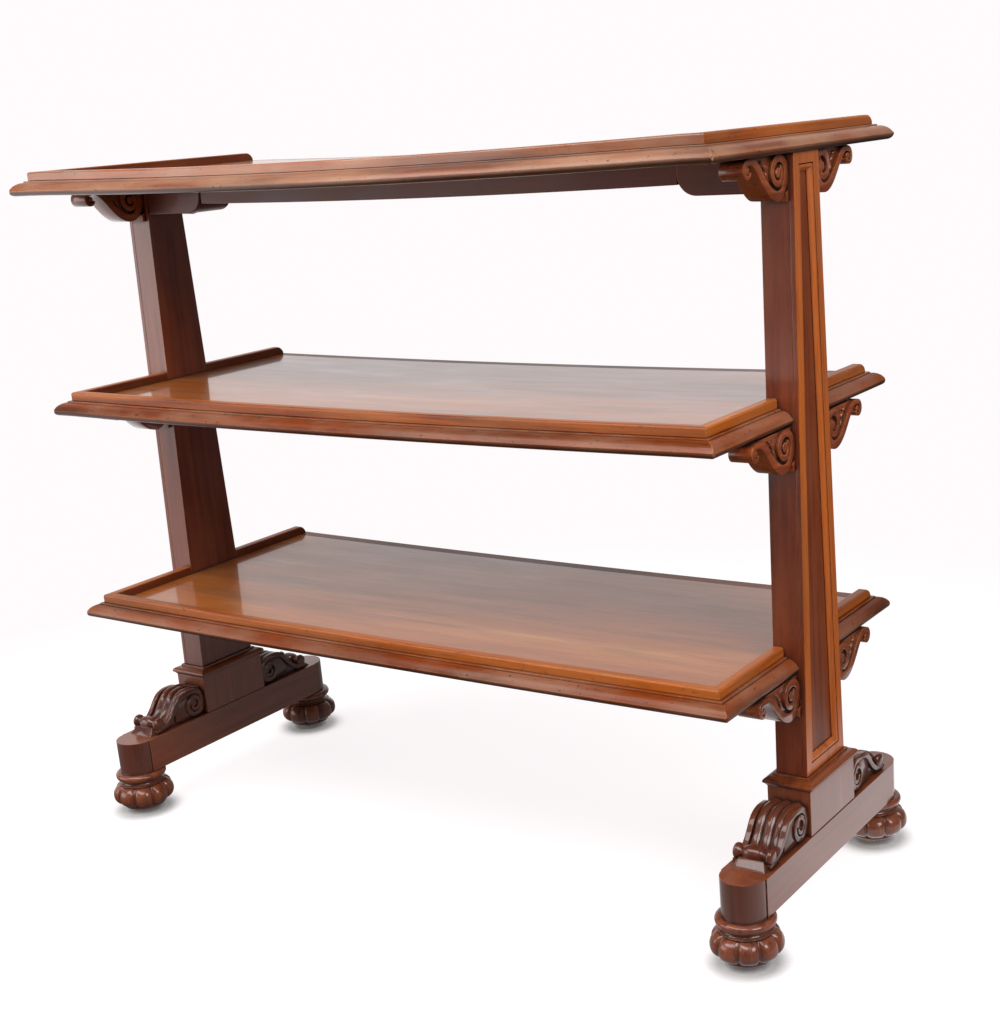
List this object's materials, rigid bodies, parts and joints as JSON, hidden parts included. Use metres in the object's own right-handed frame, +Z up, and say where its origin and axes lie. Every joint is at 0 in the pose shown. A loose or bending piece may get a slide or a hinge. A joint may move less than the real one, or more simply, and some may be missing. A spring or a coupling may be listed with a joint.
{
  "type": "tiered dumbwaiter",
  "caption": "Tiered mahogany dumbwaiter: galleried shelves on tapering panelled end uprights with scroll brackets, scrolled foot rails and bun feet on hidden castors.",
  "frame": {"origin": "floor level, below the middle of the tiers", "axes": "+X along the tiers to the right end, +Y from the galleried front to the open back, +Z up"},
  "size_m": [1.2496, 0.5052, 1.053],
  "materials": {
    "shelf_mahogany": "gloss",
    "moulding_mahogany": "gloss",
    "upright_mahogany": "gloss",
    "foot_mahogany": "gloss",
    "carved_mahogany": "gloss",
    "bearer_mahogany": "satin",
    "castor_iron": "dull",
    "castor_brass": "worn",
    "castor_steel": "dull"
  },
  "bodies": {
    "stand": {"board_bottom": "shelf_mahogany", "board_middle": "shelf_mahogany", "board_top": "shelf_mahogany", "brackets_bottom_left": "carved_mahogany", "brackets_bottom_right": "carved_mahogany", "brackets_middle_left": "carved_mahogany", "brackets_middle_right": "carved_mahogany", "brackets_top_left": "carved_mahogany", "brackets_top_right": "carved_mahogany", "bun_foot_back_left": "carved_mahogany", "bun_foot_back_right": "carved_mahogany", "bun_foot_front_left": "carved_mahogany", "bun_foot_front_right": "carved_mahogany", "castor_plate_back_left": "castor_iron", "castor_plate_back_right": "castor_iron", "castor_plate_front_left": "castor_iron", "castor_plate_front_right": "castor_iron", "castor_screws": "castor_steel", "edge_ends_bottom": "moulding_mahogany", "edge_ends_middle": "moulding_mahogany", "edge_ends_top": "moulding_mahogany", "edge_long_bottom": "moulding_mahogany", "edge_long_middle": "moulding_mahogany", "edge_long_top": "moulding_mahogany", "foot_rail_left": "foot_mahogany", "foot_rail_right": "foot_mahogany", "gallery_ends_bottom": "moulding_mahogany", "gallery_ends_middle": "moulding_mahogany", "gallery_ends_top": "moulding_mahogany", "gallery_front_bottom": "moulding_mahogany", "gallery_front_middle": "moulding_mahogany", "gallery_front_top": "moulding_mahogany", "panel_frame_left": "upright_mahogany", "panel_frame_right": "upright_mahogany", "panel_moulding_left": "upright_mahogany", "panel_moulding_right": "upright_mahogany", "plinth_block_left": "foot_mahogany", "plinth_block_right": "foot_mahogany", "plinth_cap_left": "foot_mahogany", "plinth_cap_right": "foot_mahogany", "scroll_knee_back_left": "carved_mahogany", "scroll_knee_back_right": "carved_mahogany", "scroll_knee_front_left": "carved_mahogany", "scroll_knee_front_right": "carved_mahogany", "top_bearers": "bearer_mahogany", "top_rail": "bearer_mahogany", "upright_left": "upright_mahogany", "upright_right": "upright_mahogany"},
    "castor_front_left": {"castor_horn_front_left": "castor_iron", "castor_axle_front_left": "castor_steel"},
    "castor_front_right": {"castor_horn_front_right": "castor_iron", "castor_axle_front_right": "castor_steel"},
    "castor_back_left": {"castor_horn_back_left": "castor_iron", "castor_axle_back_left": "castor_steel"},
    "castor_back_right": {"castor_horn_back_right": "castor_iron", "castor_axle_back_right": "castor_steel"},
    "wheel_front_left": {"castor_wheel_front_left": "castor_brass"},
    "wheel_front_right": {"castor_wheel_front_right": "castor_brass"},
    "wheel_back_left": {"castor_wheel_back_left": "castor_brass"},
    "wheel_back_right": {"castor_wheel_back_right": "castor_brass"}
  },
  "joints": [
    {"name": "swivel_front_left", "type": "hinge", "parent": "stand", "child": "castor_front_left", "pos_m": [-0.57525, -0.203, 0.038], "axis": [0, 0, 1], "continuous": true},
    {"name": "roll_front_left", "type": "hinge", "parent": "castor_front_left", "child": "wheel_front_left", "pos_m": [-0.57525, -0.195, 0.015], "axis": [1, 0, 0], "continuous": true},
    {"name": "swivel_front_right", "type": "hinge", "parent": "stand", "child": "castor_front_right", "pos_m": [0.57525, -0.203, 0.038], "axis": [0, 0, 1], "continuous": true},
    {"name": "roll_front_right", "type": "hinge", "parent": "castor_front_right", "child": "wheel_front_right", "pos_m": [0.57525, -0.195, 0.015], "axis": [1, 0, 0], "continuous": true},
    {"name": "swivel_back_left", "type": "hinge", "parent": "stand", "child": "castor_back_left", "pos_m": [-0.57525, 0.203, 0.038], "axis": [0, 0, 1], "continuous": true},
    {"name": "roll_back_left", "type": "hinge", "parent": "castor_back_left", "child": "wheel_back_left", "pos_m": [-0.57525, 0.195, 0.015], "axis": [1, 0, 0], "continuous": true},
    {"name": "swivel_back_right", "type": "hinge", "parent": "stand", "child": "castor_back_right", "pos_m": [0.57525, 0.203, 0.038], "axis": [0, 0, 1], "continuous": true},
    {"name": "roll_back_right", "type": "hinge", "parent": "castor_back_right", "child": "wheel_back_right", "pos_m": [0.57525, 0.195, 0.015], "axis": [1, 0, 0], "continuous": true}
  ]
}
